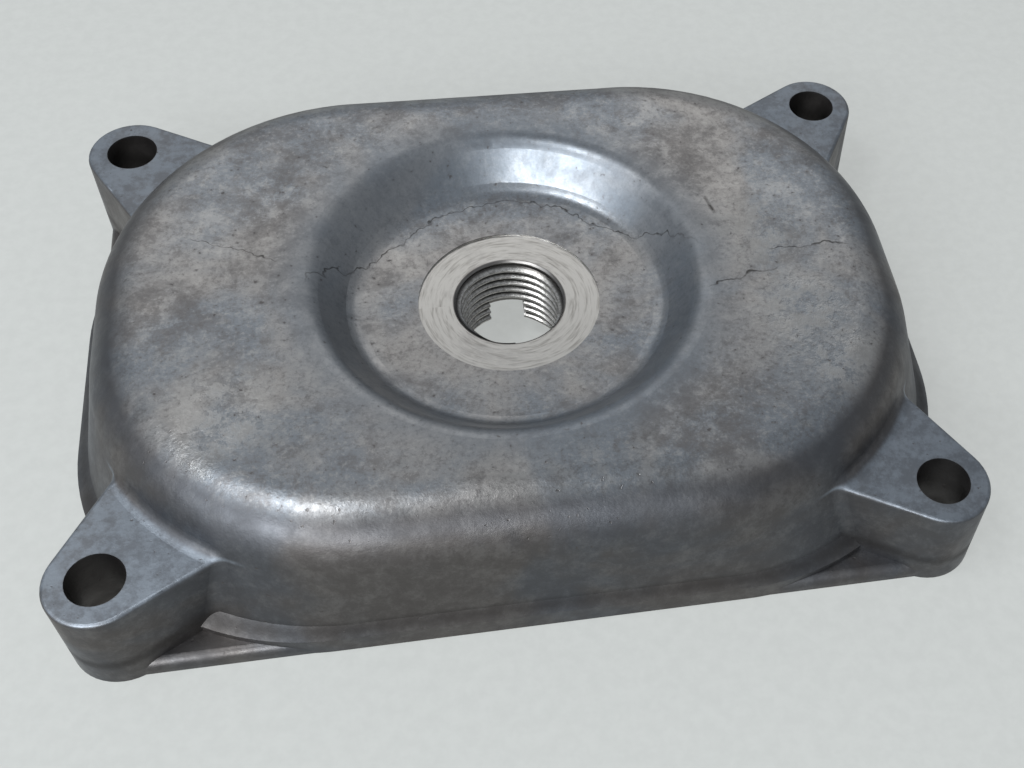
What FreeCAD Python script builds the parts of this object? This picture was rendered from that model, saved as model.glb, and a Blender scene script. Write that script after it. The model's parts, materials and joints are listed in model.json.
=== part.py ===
import FreeCAD, Part
import math
import os
import Sketcher

# Oil strainer cap, one aluminium casting, millimetres.
# The origin lies in the gasket face, at the centre of the four bolt holes.
# X runs along the long side, Y along the short side, +Z out of the gasket face.

PART_NAME = "cap_casting"

# Driving dimensions: name, value, what it sets

SIZES = [
    ("hole_spacing_long", 155.0, "bolt hole centres along X"),
    ("hole_spacing_short", 108.0, "bolt hole centres along Y"),
    ("bolt_hole_diameter", 10.5, "clearance hole for an M10 bolt"),
    ("flange_overhang", 9.0, "flange edge beyond the line of the bolt holes"),
    ("flange_thickness", 3.0, "height of the ledge between lug and wall"),
    ("flange_edge_round", 2.0, "rounded upper edge of the flange"),
    ("lug_height", 20.5, "lug faces above the gasket face"),
    ("lug_nose_radius", 9.8, "lug nose at the gasket face, round the bolt hole"),
    ("lug_flank_angle", 30.0, "lug flanks, turned in from the two sides, degrees"),
    ("lug_flank_length", 40.0, "flanks, measured on into the body"),
    ("lug_draft", 1.5, "draft of nose and flanks, degrees"),
    ("lug_edge_round", 0.8, "broken upper edge of the lugs"),
    ("lug_crease_round", 3.0, "hollow between lug face and dome"),
    ("end_overhang", 9.9, "foot of the end walls beyond the bolt holes"),
    ("side_overhang", 8.6, "foot of the side walls beyond the bolt holes"),
    ("skirt_width", 0.6, "upright skirt, beyond the foot of the walls"),
    ("skirt_height", 4.5, "upright skirt above the gasket face"),
    ("sweep_height", 3.0, "sweep from the skirt in to the wall"),
    ("sweep_bite", 0.15, "upper end of the sweep, within the wall"),
    ("end_lean", 8.5, "end walls, drawn in from foot to crown"),
    ("side_lean", 3.6, "side walls, drawn in from foot to crown"),
    ("foot_end_flat", 29.0, "straight part of the end wall at its foot"),
    ("crown_end_flat", 8.0, "straight part of the end wall at the crown"),
    ("dome_height", 31.0, "flat crown above the gasket face"),
    ("dome_roll", 12.0, "rolled edge of the crown"),
    ("wall_thickness", 4.5, "cast wall"),
    ("roof_thickness", 4.2, "cast roof over the hollow"),
    ("gasket_width", 6.4, "gasket face, from wall foot to hollow"),
    ("hollow_round", 7.5, "hollow between inner wall and roof"),
    ("dish_depth", 8.8, "cast floor of the dish below the dome"),
    ("dish_floor_radius", 29.6, "flat cast floor of the dish"),
    ("dish_slope_angle", 50.0, "slope of the dish, degrees"),
    ("dish_floor_round", 4.0, "hollow round the floor of the dish"),
    ("dish_rim_round", 5.0, "rolled rim of the dish"),
    ("pan_rim_round", 1.0, "rim of the dish's underside, within the roof"),
    ("spot_radius", 18.5, "machined ring round the port"),
    ("spot_depth", 0.4, "machined ring below the cast floor"),
    ("boss_radius", 17.0, "port boss at its lower end"),
    ("boss_draft", 2.0, "draft of the boss, degrees"),
    ("boss_gap", 4.3, "lower end of the boss above the gasket face"),
    ("boss_root_round", 3.0, "hollow between boss and dish"),
    ("port_diameter", 22.0, "major diameter of the port thread, pitch 2"),
    ("port_chamfer", 0.4, "chamfer at the mouth of the port"),
    ("notch_width", 7.6, "oil notch in the lower end of the boss"),
    ("notch_height", 5.4, "oil notch, measured up from the lower end"),
]

doc = FreeCAD.newDocument("oil_strainer_cap")
sheet = doc.addObject("Spreadsheet::Sheet", "sizes")
for row, (size_name, size_value, size_note) in enumerate(SIZES, start=1):
    sheet.set("A%d" % row, size_note)
    sheet.set("B%d" % row, str(size_value))
    sheet.setAlias("B%d" % row, size_name)
doc.recompute()

body = doc.addObject("PartDesign::Body", PART_NAME)
body.Label = PART_NAME


def worked_out(expression):
    """The present value of an expression of sheet names."""
    return float(sheet.evalExpression(expression))


# Sketches and features

START, END, CENTRE = range(1, 4)
ORIGIN = -1
Y_AXIS = -2


def origin_plane(role):
    for feature in body.Origin.OriginFeatures:
        if feature.Role == role:
            return feature


def new_sketch(name, role, height=None):
    """A sketch on one of the body's own planes, raised by an expression."""
    sketch = body.newObject("Sketcher::SketchObject", name)
    sketch.AttachmentSupport = [(origin_plane(role), "")]
    sketch.MapMode = "FlatFace"
    if height:
        sketch.setExpression("AttachmentOffset.Base.z", height)
    return sketch


def bound(sketch, constraint, name, expression):
    """Add a constraint whose value follows the sheet."""
    index = sketch.addConstraint(constraint)
    sketch.renameConstraint(index, name)
    sketch.setExpression("Constraints." + name, expression)


def finished(feature):
    """Make a feature the body's tip and work the model out."""
    body.Tip = feature
    doc.recompute()
    return feature


def point(x, y):
    return FreeCAD.Vector(x, y, 0)


def rounded_rectangle(sketch, half_length, half_width, radius):
    """A centred rectangle with round corners; its three sizes are expressions."""
    length = worked_out(half_length)
    width = worked_out(half_width)
    bend = worked_out(radius)
    inner_x = length - bend
    inner_y = width - bend
    outline = [
        (point(-inner_x, -width), point(inner_x, -width), point(inner_x, -inner_y), -90),
        (point(length, -inner_y), point(length, inner_y), point(inner_x, inner_y), 0),
        (point(inner_x, width), point(-inner_x, width), point(-inner_x, inner_y), 90),
        (point(-length, inner_y), point(-length, -inner_y), point(-inner_x, -inner_y), 180),
    ]
    sides = []
    corners = []
    for start, end, centre, angle in outline:
        circle = Part.Circle(centre, FreeCAD.Vector(0, 0, 1), bend)
        first = math.radians(angle)
        sides.append(sketch.addGeometry(Part.LineSegment(start, end)))
        corners.append(sketch.addGeometry(Part.ArcOfCircle(circle, first, first + math.pi / 2)))
    add = Sketcher.Constraint
    for index, side in enumerate(sides):
        following = sides[(index + 1) % len(sides)]
        sketch.addConstraint(add("Tangent", side, END, corners[index], START))
        sketch.addConstraint(add("Tangent", corners[index], END, following, START))
    sketch.addConstraint(add("Horizontal", sides[0]))
    sketch.addConstraint(add("Vertical", sides[1]))
    for corner in corners[1:3]:
        sketch.addConstraint(add("Equal", corners[0], corner))
    sketch.addConstraint(add("Symmetric", corners[0], CENTRE, corners[2], CENTRE, ORIGIN, START))
    bound(sketch, add("DistanceX", ORIGIN, START, sides[1], START, length),
          "half_length", half_length)
    bound(sketch, add("DistanceY", sides[0], START, ORIGIN, START, width),
          "half_width", half_width)
    bound(sketch, add("Radius", corners[0], bend), "corner", radius)


def rectangle_sketch(name, height, half_length, half_width, radius):
    sketch = new_sketch(name, "XY_Plane", height)
    rounded_rectangle(sketch, half_length, half_width, radius)
    return sketch


def loft(kind, name, lower, upper):
    """A straight loft, kind Additive or Subtractive, between two sketches."""
    feature = body.newObject("PartDesign::" + kind + "Loft", name)
    feature.Profile = lower
    feature.Sections = [upper]
    feature.Ruled = True
    return finished(feature)


def pad(name, sketch, length, draft=None):
    feature = body.newObject("PartDesign::Pad", name)
    feature.Profile = sketch
    feature.setExpression("Length", length)
    if draft:
        feature.setExpression("TaperAngle", "-1 * " + draft)
    return finished(feature)


def edges_where(test):
    """Names of the tip's edges that pass a test."""
    names = []
    for number, edge in enumerate(body.Tip.Shape.Edges, start=1):
        if test(edge):
            names.append("Edge%d" % number)
    return names


def lies_at(edge, height, tolerance=0.01):
    box = edge.BoundBox
    return abs(box.ZMin - height) < tolerance and abs(box.ZMax - height) < tolerance


def fillet(name, edge_names, radius):
    carrier = body.Tip
    feature = body.newObject("PartDesign::Fillet", name)
    feature.Base = (carrier, edge_names)
    feature.setExpression("Radius", radius)
    return finished(feature)


# Where the walls stand

HALF_LONG = "sizes.hole_spacing_long / 2"
HALF_SHORT = "sizes.hole_spacing_short / 2"
FOOT_LENGTH = HALF_LONG + " + sizes.end_overhang"
FOOT_WIDTH = HALF_SHORT + " + sizes.side_overhang"
CROWN_LENGTH = FOOT_LENGTH + " - sizes.end_lean"
CROWN_WIDTH = FOOT_WIDTH + " - sizes.side_lean"
FOOT_CORNER = FOOT_WIDTH + " - sizes.foot_end_flat / 2"
CROWN_CORNER = CROWN_WIDTH + " - sizes.crown_end_flat / 2"
SWEEP_TOP = "(sizes.skirt_height + sizes.sweep_height)"
ROOF = "(sizes.dome_height - sizes.roof_thickness)"
FLOOR_LEVEL = "(sizes.dome_height - sizes.dish_depth)"
PAN_LEVEL = "(" + FLOOR_LEVEL + " - sizes.wall_thickness)"
PAN_TOP = "(sizes.dome_height - sizes.roof_thickness / 2)"
FLANGE_EDGE = "min(sizes.flange_edge_round; 0.9 * sizes.flange_thickness)"
BOSS_TOP = "(" + FLOOR_LEVEL + " - sizes.wall_thickness / 2)"


def flange():
    overhang = "sizes.flange_overhang"
    plan = rectangle_sketch("flange_plan", None, HALF_LONG + " + " + overhang,
                            HALF_SHORT + " + " + overhang, overhang)
    pad("flange", plan, "sizes.flange_thickness")
    top = worked_out("sizes.flange_thickness")
    upper_edges = edges_where(lambda edge: lies_at(edge, top))
    fillet("flange_edge", upper_edges, FLANGE_EDGE)


def walls():
    """Leaning walls from the gasket face up to the flat crown, with a rolled edge."""
    foot = rectangle_sketch("wall_foot", None, FOOT_LENGTH, FOOT_WIDTH, FOOT_CORNER)
    crown = rectangle_sketch("wall_crown", "sizes.dome_height", CROWN_LENGTH, CROWN_WIDTH,
                             CROWN_CORNER)
    loft("Additive", "walls", foot, crown)
    top = worked_out("sizes.dome_height")
    upper_edges = edges_where(lambda edge: lies_at(edge, top))
    fillet("crown_edge", upper_edges, "sizes.dome_roll")


def skirt():
    """An upright skirt round the foot of the walls, and a sweep from it in to them."""
    outwards = " + sizes.skirt_width"
    inwards = " * (" + SWEEP_TOP + " / sizes.dome_height) - sizes.sweep_bite"
    growth = "(sizes.side_lean + sizes.crown_end_flat / 2 - sizes.foot_end_flat / 2)"
    skirt_sizes = (FOOT_LENGTH + outwards, FOOT_WIDTH + outwards, FOOT_CORNER + outwards)
    pad("skirt", rectangle_sketch("skirt_plan", None, *skirt_sizes), "sizes.skirt_height")
    sweep_foot = rectangle_sketch("sweep_foot", "sizes.skirt_height", *skirt_sizes)
    sweep_top = rectangle_sketch("sweep_top", SWEEP_TOP,
                                 FOOT_LENGTH + " - sizes.end_lean" + inwards,
                                 FOOT_WIDTH + " - sizes.side_lean" + inwards,
                                 FOOT_CORNER + " - " + growth + inwards)
    loft("Additive", "sweep", sweep_foot, sweep_top)


def lugs():
    """One lug round the bolt hole in the +X +Y corner, mirrored to the other three."""
    centre = point(worked_out(HALF_LONG), worked_out(HALF_SHORT))
    radius = worked_out("sizes.lug_nose_radius")
    angle = math.radians(worked_out("sizes.lug_flank_angle"))
    reach = worked_out("sizes.lug_flank_length")
    back_normal = point(-math.sin(angle), math.cos(angle))
    end_normal = point(math.cos(angle), -math.sin(angle))
    back_start = centre + back_normal * radius
    end_start = centre + end_normal * radius
    back_stop = back_start - point(math.cos(angle), math.sin(angle)) * reach
    end_stop = end_start - point(math.sin(angle), math.cos(angle)) * reach
    plan = new_sketch("lug_plan", "XY_Plane")
    circle = Part.Circle(centre, FreeCAD.Vector(0, 0, 1), radius)
    nose = plan.addGeometry(Part.ArcOfCircle(circle, -angle, math.pi / 2 + angle))
    back_flank = plan.addGeometry(Part.LineSegment(back_start, back_stop))
    closing = plan.addGeometry(Part.LineSegment(back_stop, end_stop))
    end_flank = plan.addGeometry(Part.LineSegment(end_stop, end_start))
    add = Sketcher.Constraint
    plan.addConstraint(add("Tangent", nose, END, back_flank, START))
    plan.addConstraint(add("Tangent", end_flank, END, nose, START))
    plan.addConstraint(add("Coincident", back_flank, END, closing, START))
    plan.addConstraint(add("Coincident", closing, END, end_flank, START))
    bound(plan, add("DistanceX", ORIGIN, START, nose, CENTRE, centre.x), "along", HALF_LONG)
    bound(plan, add("DistanceY", ORIGIN, START, nose, CENTRE, centre.y), "across", HALF_SHORT)
    bound(plan, add("Radius", nose, radius), "nose", "sizes.lug_nose_radius")
    bound(plan, add("Distance", back_flank, reach), "back_length", "sizes.lug_flank_length")
    bound(plan, add("Distance", end_flank, reach), "end_length", "sizes.lug_flank_length")
    bound(plan, add("Angle", back_flank, math.pi + angle), "back_angle",
          "180 + sizes.lug_flank_angle")
    bound(plan, add("Angle", end_flank, math.pi / 2 - angle), "end_angle",
          "90 - sizes.lug_flank_angle")
    lug = pad("lug", plan, "sizes.lug_height", "sizes.lug_draft")
    in_all_corners("lugs", lug)


def in_all_corners(name, feature):
    """Mirror a feature of the +X +Y corner to the other three."""
    corners = body.newObject("PartDesign::MultiTransform", name)
    corners.Originals = [feature]
    mirrors = []
    for side, role in (("end", "YZ_Plane"), ("side", "XZ_Plane")):
        mirror = body.newObject("PartDesign::Mirrored", name + "_to_other_" + side)
        mirror.MirrorPlane = (origin_plane(role), [""])
        mirrors.append(mirror)
    corners.Transformations = mirrors
    finished(corners)


def hollow():
    """The space inside: its walls and roof follow the outer ones."""
    inset = " - sizes.gasket_width"
    wall = " - sizes.wall_thickness"
    mouth = rectangle_sketch("hollow_mouth", None, FOOT_LENGTH + inset, FOOT_WIDTH + inset,
                             FOOT_CORNER + inset)
    roof = rectangle_sketch("hollow_roof", ROOF, CROWN_LENGTH + wall, CROWN_WIDTH + wall,
                            CROWN_CORNER + wall)
    loft("Subtractive", "hollow", mouth, roof)
    level = worked_out(ROOF)
    roof_edges = edges_where(lambda edge: lies_at(edge, level))
    fillet("hollow_edge", roof_edges, "sizes.hollow_round")


def turned(kind, name, sketch):
    """Turn a half section round +Z; kind is Revolution or Groove."""
    feature = body.newObject("PartDesign::" + kind, name)
    feature.Profile = sketch
    feature.ReferenceAxis = (sketch, ["V_Axis"])
    feature.Angle = 360
    return finished(feature)


def dish_section(name, floor, floor_radius, floor_round, rim_round, top):
    """Half section of the dish: floor, hollow, slope, rolled rim, up to a level top.

    The floor's edge and the level top are fixed; the slope joins the two rounds.
    """
    sketch = new_sketch(name, "XZ_Plane")
    level = worked_out(floor)
    upper = worked_out(top)
    edge = worked_out(floor_radius)
    low_round = worked_out(floor_round)
    high_round = worked_out(rim_round)
    slope = math.radians(worked_out("sizes.dish_slope_angle"))
    sine = math.sin(slope)
    cosine = math.cos(slope)
    straight = (upper - level - (low_round + high_round) * (1 - cosine)) / sine
    low_centre = point(edge, level + low_round)
    slope_start = low_centre + point(sine, -cosine) * low_round
    slope_stop = slope_start + point(cosine, sine) * straight
    high_centre = slope_stop + point(sine, -cosine) * high_round
    rim = point(high_centre.x, upper)
    upward = FreeCAD.Vector(0, 0, 1)
    floor_line = sketch.addGeometry(Part.LineSegment(point(0, level), point(edge, level)))
    low_arc = sketch.addGeometry(Part.ArcOfCircle(
        Part.Circle(low_centre, upward, low_round), -math.pi / 2, slope - math.pi / 2))
    slope_line = sketch.addGeometry(Part.LineSegment(slope_start, slope_stop))
    high_arc = sketch.addGeometry(Part.ArcOfCircle(
        Part.Circle(high_centre, upward, high_round), math.pi / 2, math.pi / 2 + slope))
    top_line = sketch.addGeometry(Part.LineSegment(rim, point(0, upper)))
    axis_line = sketch.addGeometry(Part.LineSegment(point(0, upper), point(0, level)))
    add = Sketcher.Constraint
    sketch.addConstraint(add("Tangent", floor_line, END, low_arc, START))
    sketch.addConstraint(add("Tangent", low_arc, END, slope_line, START))
    sketch.addConstraint(add("Tangent", slope_line, END, high_arc, END))
    sketch.addConstraint(add("Tangent", high_arc, START, top_line, START))
    sketch.addConstraint(add("Coincident", top_line, END, axis_line, START))
    sketch.addConstraint(add("Coincident", axis_line, END, floor_line, START))
    sketch.addConstraint(add("Horizontal", floor_line))
    sketch.addConstraint(add("Horizontal", top_line))
    sketch.addConstraint(add("PointOnObject", floor_line, START, Y_AXIS))
    sketch.addConstraint(add("PointOnObject", top_line, END, Y_AXIS))
    bound(sketch, add("DistanceY", ORIGIN, START, floor_line, START, level), "floor_level", floor)
    bound(sketch, add("DistanceY", ORIGIN, START, top_line, END, upper), "top_level", top)
    bound(sketch, add("DistanceX", floor_line, START, floor_line, END, edge), "floor_edge",
          floor_radius)
    bound(sketch, add("Radius", low_arc, low_round), "floor_hollow", floor_round)
    bound(sketch, add("Radius", high_arc, high_round), "rim_roll", rim_round)
    bound(sketch, add("Angle", slope_line, slope), "slope", "sizes.dish_slope_angle")
    return sketch


def dish_pan():
    """The dish seen from inside: its skin stands down from the roof."""
    section = dish_section("pan_section", PAN_LEVEL, "sizes.dish_floor_radius",
                           "sizes.dish_floor_round + sizes.wall_thickness",
                           "sizes.pan_rim_round", PAN_TOP)
    turned("Revolution", "dish_pan", section)


def boss():
    """The port boss hangs from the pan; its draft widens it upwards."""
    section = new_sketch("boss_section", "XZ_Plane")
    low = worked_out("sizes.boss_gap")
    high = worked_out(BOSS_TOP)
    radius = worked_out("sizes.boss_radius")
    draft = math.radians(worked_out("sizes.boss_draft"))
    wide = radius + (high - low) * math.tan(draft)
    corners = [point(0, low), point(radius, low), point(wide, high), point(0, high)]
    lines = []
    for index, corner in enumerate(corners):
        following = corners[(index + 1) % len(corners)]
        lines.append(section.addGeometry(Part.LineSegment(corner, following)))
    add = Sketcher.Constraint
    for index, line in enumerate(lines):
        following = lines[(index + 1) % len(lines)]
        section.addConstraint(add("Coincident", line, END, following, START))
    section.addConstraint(add("Horizontal", lines[0]))
    section.addConstraint(add("Horizontal", lines[2]))
    section.addConstraint(add("PointOnObject", lines[0], START, Y_AXIS))
    section.addConstraint(add("PointOnObject", lines[2], END, Y_AXIS))
    bound(section, add("DistanceY", ORIGIN, START, lines[0], START, low), "low_level",
          "sizes.boss_gap")
    bound(section, add("DistanceY", ORIGIN, START, lines[2], END, high), "high_level", BOSS_TOP)
    bound(section, add("Distance", lines[0], radius), "end_radius", "sizes.boss_radius")
    bound(section, add("Angle", lines[1], math.pi / 2 - draft), "draft", "90 - sizes.boss_draft")
    turned("Revolution", "boss", section)
    pan_level = worked_out(PAN_LEVEL)
    boss_edge = edges_where(lambda edge: lies_at(edge, pan_level) and is_round(edge, wide))
    fillet("boss_root", boss_edge, "sizes.boss_root_round")


def is_round(edge, radius, tolerance=1.0):
    """True for a circle about the middle of nearly this radius."""
    box = edge.BoundBox
    return abs(box.XMax - radius) < tolerance and abs(box.XMin + radius) < tolerance


def dish():
    section = dish_section("dish_section", FLOOR_LEVEL, "sizes.dish_floor_radius",
                           "sizes.dish_floor_round", "sizes.dish_rim_round",
                           "sizes.dome_height")
    turned("Groove", "dish", section)


def round_pocket(name, level, radius, depth=None, centre_along=None, centre_across=None):
    """A round pocket cut downwards from a level, through all where no depth is given."""
    along = worked_out(centre_along) if centre_along else 0
    across = worked_out(centre_across) if centre_across else 0
    sketch = new_sketch(name + "_circle", "XY_Plane", level)
    circle = Part.Circle(point(along, across), FreeCAD.Vector(0, 0, 1), worked_out(radius))
    ring = sketch.addGeometry(circle)
    add = Sketcher.Constraint
    if centre_along:
        bound(sketch, add("DistanceX", ORIGIN, START, ring, CENTRE, along), "along", centre_along)
        bound(sketch, add("DistanceY", ORIGIN, START, ring, CENTRE, across), "across",
              centre_across)
    else:
        sketch.addConstraint(add("Coincident", ring, CENTRE, ORIGIN, START))
    bound(sketch, add("Radius", ring, worked_out(radius)), "radius", radius)
    pocket = body.newObject("PartDesign::Pocket", name)
    pocket.Profile = sketch
    if depth:
        pocket.setExpression("Length", depth)
    else:
        pocket.Type = "ThroughAll"
    return finished(pocket)


def port():
    """Machined ring, threaded bore, its chamfer, and the notch below it on the +Y side."""
    spot_level = "(" + FLOOR_LEVEL + " - sizes.spot_depth)"
    round_pocket("spot_face", FLOOR_LEVEL, "sizes.spot_radius", "sizes.spot_depth")
    round_pocket("port_bore", FLOOR_LEVEL, "sizes.port_diameter / 2")
    level = worked_out(spot_level)
    radius = worked_out("sizes.port_diameter / 2")
    mouth = edges_where(lambda edge: lies_at(edge, level) and is_round(edge, radius))
    carrier = body.Tip
    chamfer = body.newObject("PartDesign::Chamfer", "port_mouth")
    chamfer.Base = (carrier, mouth)
    chamfer.setExpression("Size", "sizes.port_chamfer")
    finished(chamfer)


def notch():
    section = new_sketch("notch_section", "XZ_Plane")
    half = worked_out("sizes.notch_width") / 2
    low = worked_out("sizes.boss_gap")
    high = low + worked_out("sizes.notch_height")
    corners = [point(-half, 0), point(half, 0), point(half, high), point(-half, high)]
    lines = []
    for index, corner in enumerate(corners):
        following = corners[(index + 1) % len(corners)]
        lines.append(section.addGeometry(Part.LineSegment(corner, following)))
    add = Sketcher.Constraint
    for index, line in enumerate(lines):
        following = lines[(index + 1) % len(lines)]
        section.addConstraint(add("Coincident", line, END, following, START))
    section.addConstraint(add("Horizontal", lines[0]))
    section.addConstraint(add("Horizontal", lines[2]))
    section.addConstraint(add("Vertical", lines[1]))
    section.addConstraint(add("Symmetric", lines[0], START, lines[0], END, ORIGIN, START))
    bound(section, add("DistanceX", lines[0], START, lines[0], END, 2 * half), "width",
          "sizes.notch_width")
    bound(section, add("DistanceY", ORIGIN, START, lines[2], START, high), "top",
          "sizes.boss_gap + sizes.notch_height")
    pocket = body.newObject("PartDesign::Pocket", "notch")
    pocket.Profile = section
    pocket.setExpression("Length", "sizes.boss_radius + sizes.boss_root_round")
    finished(pocket)


def bolt_holes():
    hole = round_pocket("bolt_hole", "sizes.lug_height", "sizes.bolt_hole_diameter / 2", None,
                        HALF_LONG, HALF_SHORT)
    in_all_corners("bolt_holes", hole)


def lug_rounds():
    """Broken upper edges of the lugs, and the hollow where their faces meet the dome."""
    level = worked_out("sizes.lug_height")
    hole_line = worked_out(HALF_LONG)

    def on_face(edge):
        return lies_at(edge, level) and edge.BoundBox.XMax * edge.BoundBox.XMin > 0

    def is_hole(edge):
        return len(edge.Vertexes) == 1

    def is_crease(edge):
        """The line of the dome on a lug face: curved, and inside the bolt holes."""
        reach = max(abs(edge.BoundBox.XMin), abs(edge.BoundBox.XMax))
        return not isinstance(edge.Curve, Part.Line) and reach < hole_line

    rims = edges_where(lambda edge: on_face(edge) and not is_hole(edge) and not is_crease(edge))
    fillet("lug_edges", rims, "sizes.lug_edge_round")
    creases = edges_where(lambda edge: on_face(edge) and not is_hole(edge) and is_crease(edge))
    fillet("lug_creases", creases, "sizes.lug_crease_round")


flange()
walls()
lugs()
lug_rounds()
skirt()
hollow()
dish_pan()
boss()
dish()
port()
notch()
bolt_holes()

# Every feature must have worked before anything is written

for item in doc.Objects:
    if "Invalid" in item.State or "Error" in item.State:
        raise RuntimeError("%s failed: %s" % (item.Name, item.getStatusString()))
if body.Shape.isNull() or not body.Shape.isValid() or len(body.Shape.Solids) != 1:
    raise RuntimeError("the casting is not one valid solid")

os.makedirs("parts", exist_ok=True)
body.Shape.exportStep("parts/" + PART_NAME + ".step")
print(PART_NAME, "volume", round(body.Shape.Volume), "cubic mm")
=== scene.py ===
import json
import math
from types import SimpleNamespace
import bpy
from mathutils import Euler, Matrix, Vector


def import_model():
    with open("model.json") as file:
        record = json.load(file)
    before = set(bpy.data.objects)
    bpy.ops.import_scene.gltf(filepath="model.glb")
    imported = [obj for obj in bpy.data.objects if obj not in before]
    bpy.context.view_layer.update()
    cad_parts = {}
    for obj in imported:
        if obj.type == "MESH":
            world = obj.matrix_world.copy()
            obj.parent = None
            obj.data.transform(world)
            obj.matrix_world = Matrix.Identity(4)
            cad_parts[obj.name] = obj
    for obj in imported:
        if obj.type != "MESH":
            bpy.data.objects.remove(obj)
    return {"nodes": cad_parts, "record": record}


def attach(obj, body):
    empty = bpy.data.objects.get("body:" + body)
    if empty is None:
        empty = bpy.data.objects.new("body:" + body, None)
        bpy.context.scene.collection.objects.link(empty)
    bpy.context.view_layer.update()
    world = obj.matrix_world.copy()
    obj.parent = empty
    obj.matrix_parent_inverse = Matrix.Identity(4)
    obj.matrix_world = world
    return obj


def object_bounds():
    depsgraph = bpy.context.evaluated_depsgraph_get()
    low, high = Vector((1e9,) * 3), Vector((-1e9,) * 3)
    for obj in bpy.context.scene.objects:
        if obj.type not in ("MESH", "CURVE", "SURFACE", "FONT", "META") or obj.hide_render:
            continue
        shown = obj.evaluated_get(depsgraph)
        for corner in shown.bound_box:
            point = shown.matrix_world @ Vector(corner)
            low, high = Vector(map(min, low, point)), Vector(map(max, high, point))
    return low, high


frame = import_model()
cad_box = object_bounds()

# Oil strainer cap: as-cast aluminium with a machined ring and a threaded port.
# Lengths are millimetres, and MM turns them into metres. The floor and the lamps are in metres.

MM = 0.001
CASTING = frame["nodes"]["cap_casting"]

# Sizes that the record and the frame state
MOUNTS = {mount["name"]: mount for mount in frame["record"]["mounts"]}
HOLES = MOUNTS["bolt_holes"]["dims"]
HOLE_LINE_X = 0.5 * HOLES["spacing_x_mm"]
HOLE_LINE_Y = 0.5 * HOLES["spacing_y_mm"]
HOLE_RADIUS = HOLES["hole_r_mm"]
PORT_RADIUS = MOUNTS["port"]["dims"]["r_mm"]
RING_LEVEL = MOUNTS["port_face"]["pos_m"][2] / MM
CROWN_LEVEL = cad_box[1].z / MM

# Sizes that they don't state: the turned ring, the floor of the dish and the faces of the lugs
RING_RADIUS = 18.5
DISH_LEVEL = 22.2
LUG_LEVEL = 20.5


# Nodes of a material, in short calls

# The colour sockets of a mix node, by their place in its list
MIX_LOW = 6
MIX_HIGH = 7
MIX_RESULT = 2


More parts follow.
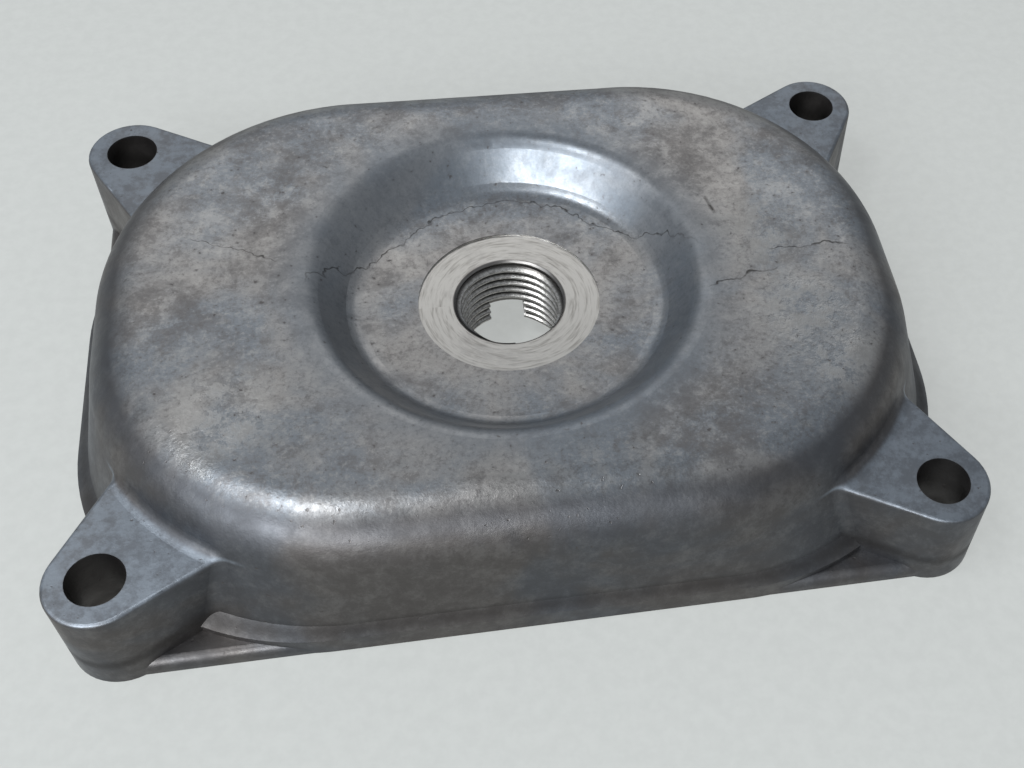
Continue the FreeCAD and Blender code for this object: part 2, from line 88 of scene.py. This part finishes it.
class Graph:
    """The node tree of one material. Values may be numbers, colours or outputs.

    place, x, y and z are in millimetres, and radius is the distance from the port's axis.
    """

    def __init__(self, name):
        self.material = bpy.data.materials.new(name)
        self.material.use_nodes = True
        self.tree = self.material.node_tree
        self.tree.nodes.clear()
        place = self.add("ShaderNodeTexCoord").outputs["Object"]
        self.place = self.vector("MULTIPLY", place, (1 / MM, 1 / MM, 1 / MM))
        parts = self.add("ShaderNodeSeparateXYZ")
        self.feed(parts.inputs[0], self.place)
        self.x, self.y, self.z = parts.outputs
        self.radius = self.level_length(self.x, self.y)

    def add(self, kind, **settings):
        node = self.tree.nodes.new(kind)
        for key, value in settings.items():
            setattr(node, key, value)
        return node

    def feed(self, socket, value):
        if isinstance(value, bpy.types.NodeSocket):
            self.tree.links.new(value, socket)
        elif socket.type == "RGBA":
            socket.default_value = (*value, 1)
        else:
            socket.default_value = value

    def math(self, operation, first, second=0.0):
        node = self.add("ShaderNodeMath", operation=operation)
        self.feed(node.inputs[0], first)
        self.feed(node.inputs[1], second)
        return node.outputs[0]

    def fold(self, operation, values):
        """One value from several, taken in turn."""
        result = values[0]
        for value in values[1:]:
            result = self.math(operation, result, value)
        return result

    def times(self, *values):
        return self.fold("MULTIPLY", values)

    def plus(self, *values):
        return self.fold("ADD", values)

    def either(self, *masks):
        return self.fold("MAXIMUM", masks)

    def minus(self, first, second):
        return self.math("SUBTRACT", first, second)

    def vector(self, operation, first, second=(0, 0, 0)):
        node = self.add("ShaderNodeVectorMath", operation=operation)
        self.feed(node.inputs[0], first)
        self.feed(node.inputs[1], second)
        return node.outputs["Value" if operation == "LENGTH" else "Vector"]

    def level_point(self, x, y):
        node = self.add("ShaderNodeCombineXYZ")
        self.feed(node.inputs[0], x)
        self.feed(node.inputs[1], y)
        return node.outputs[0]

    def level_length(self, x, y):
        """How far x and y reach together, in the level plane."""
        return self.vector("LENGTH", self.level_point(x, y))

    def step(self, value, low, high):
        """A smooth 0 to 1 as value goes from low to high; low may be the larger."""
        node = self.add("ShaderNodeMapRange", interpolation_type="SMOOTHSTEP")
        self.feed(node.inputs["Value"], value)
        self.feed(node.inputs["From Min"], low)
        self.feed(node.inputs["From Max"], high)
        return node.outputs["Result"]

    def near(self, value, target, width):
        """1 where value is at its target, fading to 0 at that width."""
        return self.step(self.math("ABSOLUTE", self.minus(value, target)), width, 0.0)

    def span(self, value, low, high):
        """A straight change from low to high as value goes from 0 to 1."""
        node = self.add("ShaderNodeMapRange")
        self.feed(node.inputs["Value"], value)
        self.feed(node.inputs["To Min"], low)
        self.feed(node.inputs["To Max"], high)
        return node.outputs["Result"]

    def mix(self, share, low, high):
        node = self.add("ShaderNodeMix", data_type="RGBA")
        self.feed(node.inputs["Factor"], share)
        self.feed(node.inputs[MIX_LOW], low)
        self.feed(node.inputs[MIX_HIGH], high)
        return node.outputs[MIX_RESULT]

    def blend(self, share, first, second):
        """Two shaders mixed, with this share of the second."""
        node = self.add("ShaderNodeMixShader")
        self.feed(node.inputs[0], share)
        self.feed(node.inputs[1], first)
        self.feed(node.inputs[2], second)
        return node.outputs[0]

    def noise(self, period, detail, rough, bend=0.0, place=None):
        """Clouds of noise, their period in millimetres."""
        node = self.add("ShaderNodeTexNoise")
        self.feed(node.inputs["Vector"], place or self.place)
        self.feed(node.inputs["Scale"], 1 / period)
        self.feed(node.inputs["Detail"], detail)
        self.feed(node.inputs["Roughness"], rough)
        self.feed(node.inputs["Distortion"], bend)
        return node.outputs[0]

    def finish(self, shader):
        """The finished material, with this shader as its surface."""
        out = self.add("ShaderNodeOutputMaterial")
        self.feed(out.inputs["Surface"], shader)
        return self.material

    def metal(self, colour, roughness, height, strength, depth):
        """A metal surface with relief; depth is that of the relief in millimetres."""
        bump = self.add("ShaderNodeBump")
        self.feed(bump.inputs["Strength"], strength)
        self.feed(bump.inputs["Distance"], depth * MM)
        self.feed(bump.inputs["Height"], height)
        shader = self.add("ShaderNodeBsdfPrincipled")
        self.feed(shader.inputs["Base Color"], colour)
        self.feed(shader.inputs["Metallic"], 1.0)
        self.feed(shader.inputs["Roughness"], roughness)
        self.feed(shader.inputs["Normal"], bump.outputs[0])
        return self.finish(shader.outputs[0])


# Colours of the metal

WARM_GREY = (0.355, 0.342, 0.333)
BLUE_GREY = (0.25, 0.271, 0.298)
# Painted shade and bluish reflection for the dish's slope
DISH_SHADE_BLUE = (0.195, 0.22, 0.25)
STAIN = (0.165, 0.157, 0.155)
PALE = (0.50, 0.49, 0.475)
# WALL_BROWN and WALL_BLUE darken the walls: partly their stain, partly painted shade for the dark
# surroundings they reflect. WALL_BROWN also fills the pits and paints shade in the bore and the
# holes, and WALL_BLUE paints the shoulder's shade.
WALL_BROWN = (0.106, 0.098, 0.095)
WALL_BLUE = (0.094, 0.097, 0.106)
LUG_GREY = (0.265, 0.298, 0.34)
MACHINED = (0.56, 0.545, 0.52)
MACHINED_DULL = (0.34, 0.325, 0.305)
THREAD_BRIGHT = (0.50, 0.49, 0.475)
THREAD_DULL = (0.26, 0.25, 0.24)
# Dark of the cold seams and the scratch; also painted shade in the foot's sweep and the thread's
# roots
SEAM_AND_SHADE_DARK = (0.035, 0.032, 0.03)


# Kinds of surface

# Edge of each: the distance or level where it starts, then the one where it is whole
RING_EDGE = (RING_RADIUS + 0.03, RING_RADIUS - 0.03)
BORE_EDGE = (PORT_RADIUS + 0.6, PORT_RADIUS + 0.5)
BORE_TOP = (DISH_LEVEL, RING_LEVEL)
GASKET_TOP = (0.06, 0.02)
HOLE_EDGE = (HOLE_RADIUS + 0.12, HOLE_RADIUS + 0.04)
HOLE_TOP = (LUG_LEVEL + 0.1, LUG_LEVEL - 0.1)
LUG_EDGE = (26.0, 22.0)
BEYOND_DISH = (42.0, 46.0)
# The walls' darkening, partly painted shade, starts just under the crown's edge, so that it also
# dims the lamps' glint on the lower roll.
WALL_TOP = (30.6, 28.9)
SLOPE_INNER_EDGE = (27.0, 35.0)
SLOPE_OUTER_EDGE = (50.0, 38.0)

# Level and half height of a band
RING_BAND = (RING_LEVEL, 0.25)
LUG_BAND = (LUG_LEVEL, 0.6)
# The shoulder band: painted shade, a darker blue band round the roll under the crown's edge
SHOULDER_BAND = (28.2, 2.6)
# The foot band: painted shade on the sweep at the wall's foot, where it would catch the lamps
FOOT_BAND = (6.2, 2.4)


def surfaces(g):
    """Masks, each 1 on one kind of surface of the casting."""
    hole_x = g.minus(g.math("ABSOLUTE", g.x), HOLE_LINE_X)
    hole_y = g.minus(g.math("ABSOLUTE", g.y), HOLE_LINE_Y)
    from_hole = g.level_length(hole_x, hole_y)
    beyond_dish = g.step(g.radius, *BEYOND_DISH)

    at = SimpleNamespace()
    at.ring = g.times(g.step(g.radius, *RING_EDGE), g.near(g.z, *RING_BAND))
    at.bore = g.times(g.step(g.radius, *BORE_EDGE), g.step(g.z, *BORE_TOP))
    at.gasket_face = g.step(g.z, *GASKET_TOP)
    at.machined = g.either(at.ring, at.bore, at.gasket_face)
    at.drilled = g.times(g.step(from_hole, *HOLE_EDGE), g.step(g.z, *HOLE_TOP))
    at.lug_face = g.times(g.near(g.z, *LUG_BAND), g.step(from_hole, *LUG_EDGE))
    at.low_wall = g.times(g.step(g.z, *WALL_TOP), beyond_dish)
    at.shoulder = g.times(g.near(g.z, *SHOULDER_BAND), beyond_dish)
    at.foot_sweep = g.near(g.z, *FOOT_BAND)
    at.dish_slope = g.times(g.step(g.radius, *SLOPE_INNER_EDGE), g.step(g.radius, *SLOPE_OUTER_EDGE))
    return at


# Colour of the cast skin

# Period in millimetres, detail, roughness and bend of each noise
SKIN_NOISES = {
    "clouds": (34.0, 3.0, 0.60, 0.60),
    "mottle": (12.0, 5.0, 0.72, 0.35),
    "blotch": (4.5, 4.0, 0.78, 0.0),
    "grain": (1.1, 2.0, 0.80, 0.0),
}

# The skin is warm in some clouds and blue in others. Its layers in turn: noise, the values of it
# where the layer starts and is full, share and colour.
BLUE_CLOUDS = (0.38, 0.62)
SKIN_LAYERS = [
    ("mottle", 0.49, 0.66, 0.55, STAIN),
    ("mottle", 0.48, 0.32, 0.34, PALE),
    ("blotch", 0.51, 0.66, 0.50, STAIN),
    ("blotch", 0.47, 0.33, 0.30, PALE),
    ("grain", 0.50, 0.68, 0.45, STAIN),
    ("grain", 0.46, 0.30, 0.30, PALE),
]

# Place and size of the patches on the crown, the share of a patch that is its core, and the
# values of the blotches between which it is ragged
PALE_PATCHES = [(56.0, -16.0, 13.0), (63.0, -30.0, 12.0), (-55.0, -28.0, 14.0), (50.0, 5.0, 14.0)]
DARK_PATCHES = [(38.0, 27.0, 13.0), (-45.0, 24.0, 14.0), (-66.0, -4.0, 12.0), (30.0, -40.0, 16.0)]
PATCH_CORE = 0.4
RAGGED = (0.42, 0.54)

# Shares of the colours laid over the skin
PALE_PATCH_SHARE = 0.45
DARK_PATCH_SHARE = 0.50
SLOPE_SHADE_SHARE = 0.6
SHOULDER_SHADE_SHARE = 0.5
FOOT_SHADE_SHARE = 0.5
HOLE_SHADE_SHARE = 0.75
BORE_SHADE_SHARE = 0.8
PIT_SHARE = 0.7
SEAM_SHARE = 0.85

# The walls and lug faces take more of their colour in some spots than in others
WALL_SPOTS = (0.36, 0.60)
WALL_SHARES = (0.82, 0.96)
LUG_SPOTS = (0.38, 0.62)
LUG_SHARES = (0.85, 0.45)


def patches(g, ragged, spots):
    """Soft ragged patches on the crown, 1 at their middles."""
    found = []
    for x, y, size in spots:
        away = g.vector("LENGTH", g.vector("SUBTRACT", g.place, (x, y, CROWN_LEVEL)))
        found.append(g.step(away, size, PATCH_CORE * size))
    return g.times(ragged, g.either(*found))


def skin_colour(g, at, noises, pale_patch, dark_patch):
    """Cloudy warm and blue greys with stains; the walls darker, partly stain and partly painted
    shade; the dish's slope painted darker and bluer, and painted shade on the shoulder and in the
    foot's sweep.
    """
    blue = g.step(noises["clouds"], *BLUE_CLOUDS)
    skin = g.mix(blue, WARM_GREY, BLUE_GREY)
    for name, start, full, share, colour in SKIN_LAYERS:
        skin = g.mix(g.times(g.step(noises[name], start, full), share), skin, colour)
    skin = g.mix(g.times(pale_patch, PALE_PATCH_SHARE), skin, PALE)
    skin = g.mix(g.times(dark_patch, DARK_PATCH_SHARE), skin, STAIN)
    # The dish's slope is painted darker and bluer, as shade and a bluish reflection.
    skin = g.mix(g.times(at.dish_slope, SLOPE_SHADE_SHARE), skin, DISH_SHADE_BLUE)
    # Below the crown's edge the walls turn darker brown and blue: partly stain, partly painted
    # shade.
    wall = g.mix(blue, WALL_BROWN, WALL_BLUE)
    wall_share = g.span(g.step(noises["blotch"], *WALL_SPOTS), *WALL_SHARES)
    skin = g.mix(g.times(at.low_wall, wall_share), skin, wall)
    # Painted shade: a darker blue band round the roll, under its highlight.
    skin = g.mix(g.times(at.shoulder, SHOULDER_SHADE_SHARE), skin, WALL_BLUE)
    # Painted shade darkens the sweep at the wall's foot.
    skin = g.mix(g.times(at.foot_sweep, FOOT_SHADE_SHARE), skin, SEAM_AND_SHADE_DARK)
    lug_share = g.span(g.step(noises["blotch"], *LUG_SPOTS), *LUG_SHARES)
    return g.mix(g.times(at.lug_face, lug_share), skin, LUG_GREY)


# Seams, where the metal met cold, and a scratch

# Period, detail and roughness of the waves in their lines
LINE_WAVES = (9.0, 3.0, 0.72)
NOISE_MIDDLE = 0.5
LINE_END = 1.5
FAINT_SPOTS = (0.58, 0.44)
FAINT_SHARES = (0.45, 1.0)

# The seam of the dish: an arc round the far side of the port, with ends that climb the slope
SEAM_RADIUS = 28.0
SEAM_CLIMB = 13.0
SEAM_WAVINESS = 9.0
SEAM_WIDTH = 0.32
SEAM_MIDDLE = math.radians(92.0)
SEAM_CLIMB_TURN = (math.radians(50.0), math.radians(95.0))
SEAM_END_TURN = (math.radians(90.0), math.radians(75.0))
SEAM_LEVEL = (RING_LEVEL, DISH_LEVEL - 0.1)

# Start, stop, waviness and half width of the lines on the crown: three seams, then the scratch
CROWN_LINES = [
    ((38.5, -8.5), (54.5, -4.5), 7.0, 0.30),
    ((53.0, 0.5), (71.0, 0.0), 6.0, 0.28),
    ((-62.0, 16.0), (-44.0, 8.0), 7.0, 0.20),
    ((43.0, 16.8), (44.6, 10.6), 0.0, 0.65),
]


def line_on_crown(g, waves, start, stop, waviness, width):
    """A fine line between two places on the crown, bent by the waves."""
    run = Vector(stop) - Vector(start)
    along = run.normalized()
    from_x = g.minus(g.x, start[0])
    from_y = g.minus(g.y, start[1])
    gone = g.plus(g.times(from_x, along.x), g.times(from_y, along.y))
    aside = g.minus(g.times(from_y, along.x), g.times(from_x, along.y))
    aside = g.plus(aside, g.times(waves, waviness))
    ends = g.times(g.step(gone, 0.0, LINE_END), g.step(gone, run.length, run.length - LINE_END))
    return g.times(g.near(aside, 0.0, width), ends, g.step(g.z, DISH_LEVEL, CROWN_LEVEL))


def dark_lines(g, blotch):
    """All seams and the scratch, faint in some spots."""
    waves = g.minus(g.noise(*LINE_WAVES), NOISE_MIDDLE)
    turned = g.math("ABSOLUTE", g.minus(g.math("ARCTAN2", g.y, g.x), SEAM_MIDDLE))
    seam_radius = g.plus(g.times(g.step(turned, *SEAM_CLIMB_TURN), SEAM_CLIMB), SEAM_RADIUS)
    wavy_radius = g.plus(g.radius, g.times(waves, SEAM_WAVINESS))
    dish_seam = g.times(g.near(wavy_radius, seam_radius, SEAM_WIDTH),
                        g.step(turned, *SEAM_END_TURN),
                        g.step(g.z, *SEAM_LEVEL))
    crown_lines = g.either(*[line_on_crown(g, waves, *line) for line in CROWN_LINES])
    faint = g.span(g.step(blotch, *FAINT_SPOTS), *FAINT_SHARES)
    return g.times(g.either(dish_seam, crown_lines), faint)


# Machined faces

# Period, detail and roughness of the noise that makes the fine rings round the port, and the
# wide arcs about another centre; a run is how far that noise moves on in a turn of one radian
FINE_RINGS = (0.6, 2.0, 0.75)
FINE_RING_RUN = 1.2
WIDE_ARCS = (1.0, 3.0, 0.7)
WIDE_ARC_RUN = 2.0
ARC_CENTRE = (2.5, -1.5)
RING_MARKS = (0.46, 0.66)
CUT_STAINS = (0.50, 0.68)
CUT_STAIN_SHARE = 0.35


def cut_faces(g, at, mottle):
    """Colour of the machined faces, with painted shade darkening the bore, and the fine rings that
    turning left in them.
    """
    arc_radius = g.level_length(g.minus(g.x, ARC_CENTRE[0]), g.minus(g.y, ARC_CENTRE[1]))
    angle = g.math("ARCTAN2", g.y, g.x)
    rings = g.noise(*FINE_RINGS, place=g.level_point(g.radius, g.times(angle, FINE_RING_RUN)))
    arcs = g.noise(*WIDE_ARCS, place=g.level_point(arc_radius, g.times(angle, WIDE_ARC_RUN)))
    marks = g.times(g.plus(rings, arcs), 0.5)
    cut = g.mix(g.step(marks, *RING_MARKS), MACHINED, MACHINED_DULL)
    cut = g.mix(g.times(g.step(mottle, *CUT_STAINS), CUT_STAIN_SHARE), cut, WARM_GREY)
    # The bore's cut faces are darkened brown: painted shade inside the port.
    return g.mix(g.times(at.bore, BORE_SHADE_SHARE), cut, WALL_BROWN), rings


# The casting

# Period, detail and roughness of the pits' noise, and the values where a pit starts and is full
PITS = (1.1, 1.0, 0.5)
PIT_EDGE = (0.72, 0.81)

# Roughness of the skin from its smoothest to its dullest, and what some surfaces add to it
SMOOTH_SPOTS = (0.30, 0.72)
SKIN_ROUGHNESS = (0.28, 0.46)
WALL_ROUGHER = 0.12
PATCH_ROUGHER = 0.10
SLOPE_ROUGHER = 0.04
FOOT_ROUGHER = 0.10
CUT_ROUGHNESS = 0.30

# Relief: the share of each noise and mark in it, its strength and its depth
RELIEF_SHARES = {"mottle": 0.55, "blotch": 0.35, "grain": 0.35}
PATCH_GRAIN = 0.5
PIT_RELIEF = 0.35
RING_RELIEF = 0.22
SLOPE_CALM = 0.65
CAST_STRENGTH = 0.8
CAST_DEPTH = 0.13


def casting_material():
    """As cast, with a turned ring, a tapped bore, drilled holes and a milled gasket face."""
    g = Graph("cast_aluminium")
    at = surfaces(g)
    noises = {name: g.noise(*settings) for name, settings in SKIN_NOISES.items()}
    ragged = g.step(noises["blotch"], *RAGGED)
    pale_patch = patches(g, ragged, PALE_PATCHES)
    dark_patch = patches(g, ragged, DARK_PATCHES)
    pits = g.step(g.noise(*PITS), *PIT_EDGE)
    unmachined = g.minus(1.0, at.machined)

    colour = skin_colour(g, at, noises, pale_patch, dark_patch)
    colour = g.mix(g.times(pits, PIT_SHARE), colour, WALL_BROWN)
    colour = g.mix(g.times(dark_lines(g, noises["blotch"]), SEAM_SHARE), colour, SEAM_AND_SHADE_DARK)
    cut, rings = cut_faces(g, at, noises["mottle"])
    colour = g.mix(at.machined, colour, cut)
    # The drilled holes' walls are darkened brown: painted shade inside the holes.
    colour = g.mix(g.times(at.drilled, HOLE_SHADE_SHARE), colour, WALL_BROWN)

    skin_roughness = g.plus(g.span(g.step(noises["mottle"], *SMOOTH_SPOTS), *SKIN_ROUGHNESS),
                            g.times(at.low_wall, WALL_ROUGHER),
                            g.times(pale_patch, PATCH_ROUGHER),
                            g.times(at.dish_slope, SLOPE_ROUGHER),
                            g.times(at.foot_sweep, FOOT_ROUGHER))
    roughness = g.plus(g.times(skin_roughness, unmachined), g.times(at.machined, CUT_ROUGHNESS))

    height = g.plus(*[g.times(noises[name], share) for name, share in RELIEF_SHARES.items()],
                    g.times(noises["grain"], pale_patch, PATCH_GRAIN))
    height = g.minus(height, g.times(pits, PIT_RELIEF))
    calm = g.minus(1.0, g.times(at.dish_slope, SLOPE_CALM))
    height = g.plus(g.times(height, calm, unmachined), g.times(rings, at.machined, RING_RELIEF))
    return g.metal(colour, roughness, height, CAST_STRENGTH, CAST_DEPTH)


def piece(name, mesh, material):
    """A shown piece that belongs to the cap."""
    made = bpy.data.objects.new(name, mesh)
    bpy.context.scene.collection.objects.link(made)
    mesh.materials.append(material)
    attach(made, "root")


# Port thread: a right-hand helical ridge inside the bore

PITCH = 2.0
THREAD_START = 5.3
THREAD_STOP = 20.8
STEPS_PER_TURN = 120

# Across, the ridge goes from its root to a corner, then to a flat crest: the radii, the share of
# the depth at which the corner lies, and half the height at each of the three
CREST_RADIUS = 9.92
ROOT_RADIUS = PORT_RADIUS + 0.04
RIDGE_DEPTH = ROOT_RADIUS - CREST_RADIUS
CORNER_DEPTH = 0.93
CREST_HALF = 0.20
CORNER_HALF = 0.32
ROOT_HALF = 0.90

# The ridge grows from a small share of its depth over this much of a turn, and ends the same way
END_SHARE = 0.02
RUN_OUT = math.radians(50.0)

# The oil notch on the +Y side, with its top and half width
NOTCH_TOP = 9.7
NOTCH_HALF = 3.8

# Period, detail and roughness of the chatter along the ridge
CHATTER = (0.6, 4.0, 0.6)
CHATTER_SPOTS = (0.35, 0.7)
THREAD_ROUGHNESS = (0.22, 0.36)
# Where the roots' painted shade starts and is whole, and its share
ROOT_SHADE = (CREST_RADIUS + 0.25, PORT_RADIUS - 0.15)
ROOT_SHADE_SHARE = 0.92
THREAD_STRENGTH = 0.3
THREAD_DEPTH = 0.03


def thread_material():
    """Cut aluminium, bright on the crests and dark in the roots with painted shade, with fine
    chatter.
    """
    g = Graph("cut_thread")
    chatter = g.noise(*CHATTER)
    root = g.step(g.radius, *ROOT_SHADE)
    colour = g.mix(g.step(chatter, *CHATTER_SPOTS), THREAD_BRIGHT, THREAD_DULL)
    # Painted shade darkens the roots of the thread.
    colour = g.mix(g.times(root, ROOT_SHADE_SHARE), colour, SEAM_AND_SHADE_DARK)
    roughness = g.span(chatter, *THREAD_ROUGHNESS)
    return g.metal(colour, roughness, chatter, THREAD_STRENGTH, THREAD_DEPTH)


def in_notch(angle, height):
    """Whether the oil notch cuts the ridge there."""
    x = PORT_RADIUS * math.cos(angle)
    return math.sin(angle) > 0 and abs(x) < NOTCH_HALF and height - ROOT_HALF < NOTCH_TOP


def thread_section(angle, height, share):
    """The points across the ridge at one angle; share shrinks it at its ends."""
    crest = ROOT_RADIUS - RIDGE_DEPTH * share
    corner = ROOT_RADIUS - RIDGE_DEPTH * share * CORNER_DEPTH
    lower_half = [(ROOT_RADIUS, -ROOT_HALF), (corner, -CORNER_HALF), (crest, -CREST_HALF)]
    upper_half = [(radius, -rise) for radius, rise in reversed(lower_half)]
    return [Vector((radius * math.cos(angle), radius * math.sin(angle), height + rise)) * MM
            for radius, rise in lower_half + upper_half]


def thread_runs():
    """The unbroken runs of the ridge, each a list of sections; the notch parts them."""
    turns = (THREAD_STOP - THREAD_START) / PITCH
    total = math.tau * turns
    count = round(turns * STEPS_PER_TURN)
    runs = [[]]
    for index in range(count + 1):
        angle = total * index / count
        height = THREAD_START + PITCH * angle / math.tau
        if in_notch(angle, height):
            runs.append([])
            continue
        from_end = min(angle, total - angle)
        share = min(1.0, END_SHARE + from_end / RUN_OUT)
        runs[-1].append(thread_section(angle, height, share))
    return [run for run in runs if run]


def thread_ridge():
    points = []
    faces = []
    for run in thread_runs():
        size = len(run[0])
        first = len(points)
        for section in run:
            points.extend(section)
        last = len(points) - size
        faces.append(tuple(reversed(range(first, first + size))))
        for start in range(first, last, size):
            for side in range(size):
                following = (side + 1) % size
                faces.append((start + side, start + size + side,
                              start + size + following, start + following))
        faces.append(tuple(range(last, last + size)))
    mesh = bpy.data.meshes.new("port_thread")
    mesh.from_pydata(points, [], faces)
    mesh.validate()
    mesh.update()
    piece("port_thread", mesh, thread_material())


# Floor and sky

FLOOR_COLOUR = (0.57, 0.59, 0.578)
FLOOR_PALE = tuple(1.05 * part for part in FLOOR_COLOUR)
FLOOR_ROUGHNESS = 0.9
FLOOR_HALF = 4.0
FLOOR_GAP = 0.02 * MM

# Period, detail and roughness of the paper's noise
PAPER = (3.0, 2.0, 0.7)
PAPER_SPOTS = (0.25, 0.75)

# The share of the floor's look that doesn't hang on the lamps
FLOOR_SEEN = 0.72

SKY_COLOUR = (0.90, 0.95, 1.0)
SKY_STRENGTH = 0.42


def floor_material():
    """Pale paper that takes the cap's shadow and shows evenly to the camera and in the metal."""
    g = Graph("pale_floor")
    colour = g.mix(g.step(g.noise(*PAPER), *PAPER_SPOTS), FLOOR_COLOUR, FLOOR_PALE)
    paper = g.add("ShaderNodeBsdfPrincipled")
    g.feed(paper.inputs["Base Color"], colour)
    g.feed(paper.inputs["Roughness"], FLOOR_ROUGHNESS)
    even = g.add("ShaderNodeEmission")
    g.feed(even.inputs["Color"], colour)
    path = g.add("ShaderNodeLightPath").outputs
    straight = g.either(path["Is Camera Ray"], path["Is Glossy Ray"], path["Is Transmission Ray"])
    return g.finish(g.blend(g.times(straight, FLOOR_SEEN), paper.outputs[0], even.outputs[0]))


def floor():
    corners = [(-FLOOR_HALF, -FLOOR_HALF, 0), (FLOOR_HALF, -FLOOR_HALF, 0),
               (FLOOR_HALF, FLOOR_HALF, 0), (-FLOOR_HALF, FLOOR_HALF, 0)]
    mesh = bpy.data.meshes.new("floor")
    mesh.from_pydata(corners, [], [(0, 1, 2, 3)])
    mesh.materials.append(floor_material())
    made = bpy.data.objects.new("floor", mesh)
    made.location.z = cad_box[0].z - FLOOR_GAP
    bpy.context.scene.collection.objects.link(made)


def world():
    """A plain soft sky that lights the cap, with the floor's colour where the camera sees it."""
    made = bpy.data.worlds.new("studio")
    bpy.context.scene.world = made
    made.use_nodes = True
    tree = made.node_tree
    light = tree.nodes["Background"]
    light.inputs["Color"].default_value = (*SKY_COLOUR, 1)
    light.inputs["Strength"].default_value = SKY_STRENGTH
    seen = tree.nodes.new("ShaderNodeBackground")
    seen.inputs["Color"].default_value = (*FLOOR_COLOUR, 1)
    path = tree.nodes.new("ShaderNodeLightPath")
    choose = tree.nodes.new("ShaderNodeMixShader")
    tree.links.new(path.outputs["Is Camera Ray"], choose.inputs[0])
    tree.links.new(light.outputs[0], choose.inputs[1])
    tree.links.new(seen.outputs[0], choose.inputs[2])
    tree.links.new(choose.outputs[0], tree.nodes["World Output"].inputs["Surface"])


# Lamps, with places and sizes in metres

COOL = (0.95, 0.98, 1.0)
COOLER = (0.90, 0.95, 1.0)
NEARLY_WHITE = (0.97, 0.99, 1.0)
WARM = (1.0, 0.98, 0.95)


def soft_box(name, place, width, depth, radiance, colour):
    """A rectangular lamp that faces the cap; radiance is its brightness as a surface."""
    lamp = bpy.data.lights.new(name, "AREA")
    lamp.shape = "RECTANGLE"
    lamp.size = width
    lamp.size_y = depth
    lamp.color = colour
    lamp.energy = radiance * math.pi * width * depth
    made = bpy.data.objects.new(name, lamp)
    made.location = place
    toward = Vector((0, 0, 0.5 * CROWN_LEVEL * MM)) - Vector(place)
    made.rotation_euler = toward.to_track_quat("-Z", "Y").to_euler()
    bpy.context.scene.collection.objects.link(made)


def lights():
    """The overhead and front lamps make the highlights; the left and back ones fill softly."""
    soft_box("overhead", place=(-0.25, -0.05, 0.60), width=0.15, depth=0.19,
             radiance=14.0, colour=NEARLY_WHITE)
    soft_box("front", place=(-0.31, -0.50, 0.40), width=0.60, depth=0.15,
             radiance=14.0, colour=COOL)
    soft_box("left", place=(-0.70, -0.25, 0.50), width=0.5, depth=0.4,
             radiance=2.0, colour=COOLER)
    soft_box("back", place=(-0.02, 0.74, 0.65), width=1.1, depth=0.36,
             radiance=0.75, colour=WARM)


# Camera: the photograph's, solved from the bolt holes and the port

IMAGE_WIDTH = 1024
FOCAL_PIXELS = 1289.4
CENTRE_RIGHT = 158.0
CENTRE_DOWN = 46.0
SENSOR_WIDTH = 36.0

# Place in millimetres and turns in degrees, then the nearest and farthest it sees, in metres
CAMERA_PLACE = (-11.39, -176.24, 223.61)
CAMERA_TURNS = (35.541, -3.790, -10.078)
NEAREST_SEEN = 0.01
FARTHEST_SEEN = 20.0


def camera():
    """Pixels from the photograph's middle to its optical centre become the lens's shift."""
    lens = bpy.data.cameras.new("camera")
    lens.sensor_width = SENSOR_WIDTH
    lens.lens = SENSOR_WIDTH * FOCAL_PIXELS / IMAGE_WIDTH
    lens.shift_x = -CENTRE_RIGHT / IMAGE_WIDTH
    lens.shift_y = CENTRE_DOWN / IMAGE_WIDTH
    lens.clip_start = NEAREST_SEEN
    lens.clip_end = FARTHEST_SEEN
    made = bpy.data.objects.new("camera", lens)
    made.location = Vector(CAMERA_PLACE) * MM
    made.rotation_euler = Euler([math.radians(turn) for turn in CAMERA_TURNS])
    bpy.context.scene.collection.objects.link(made)
    bpy.context.scene.camera = made


cast_aluminium = casting_material()
for held in CASTING.material_slots:
    held.material = cast_aluminium
thread_ridge()
floor()
world()
lights()
camera()
bpy.context.scene.view_settings.view_transform = "Standard"
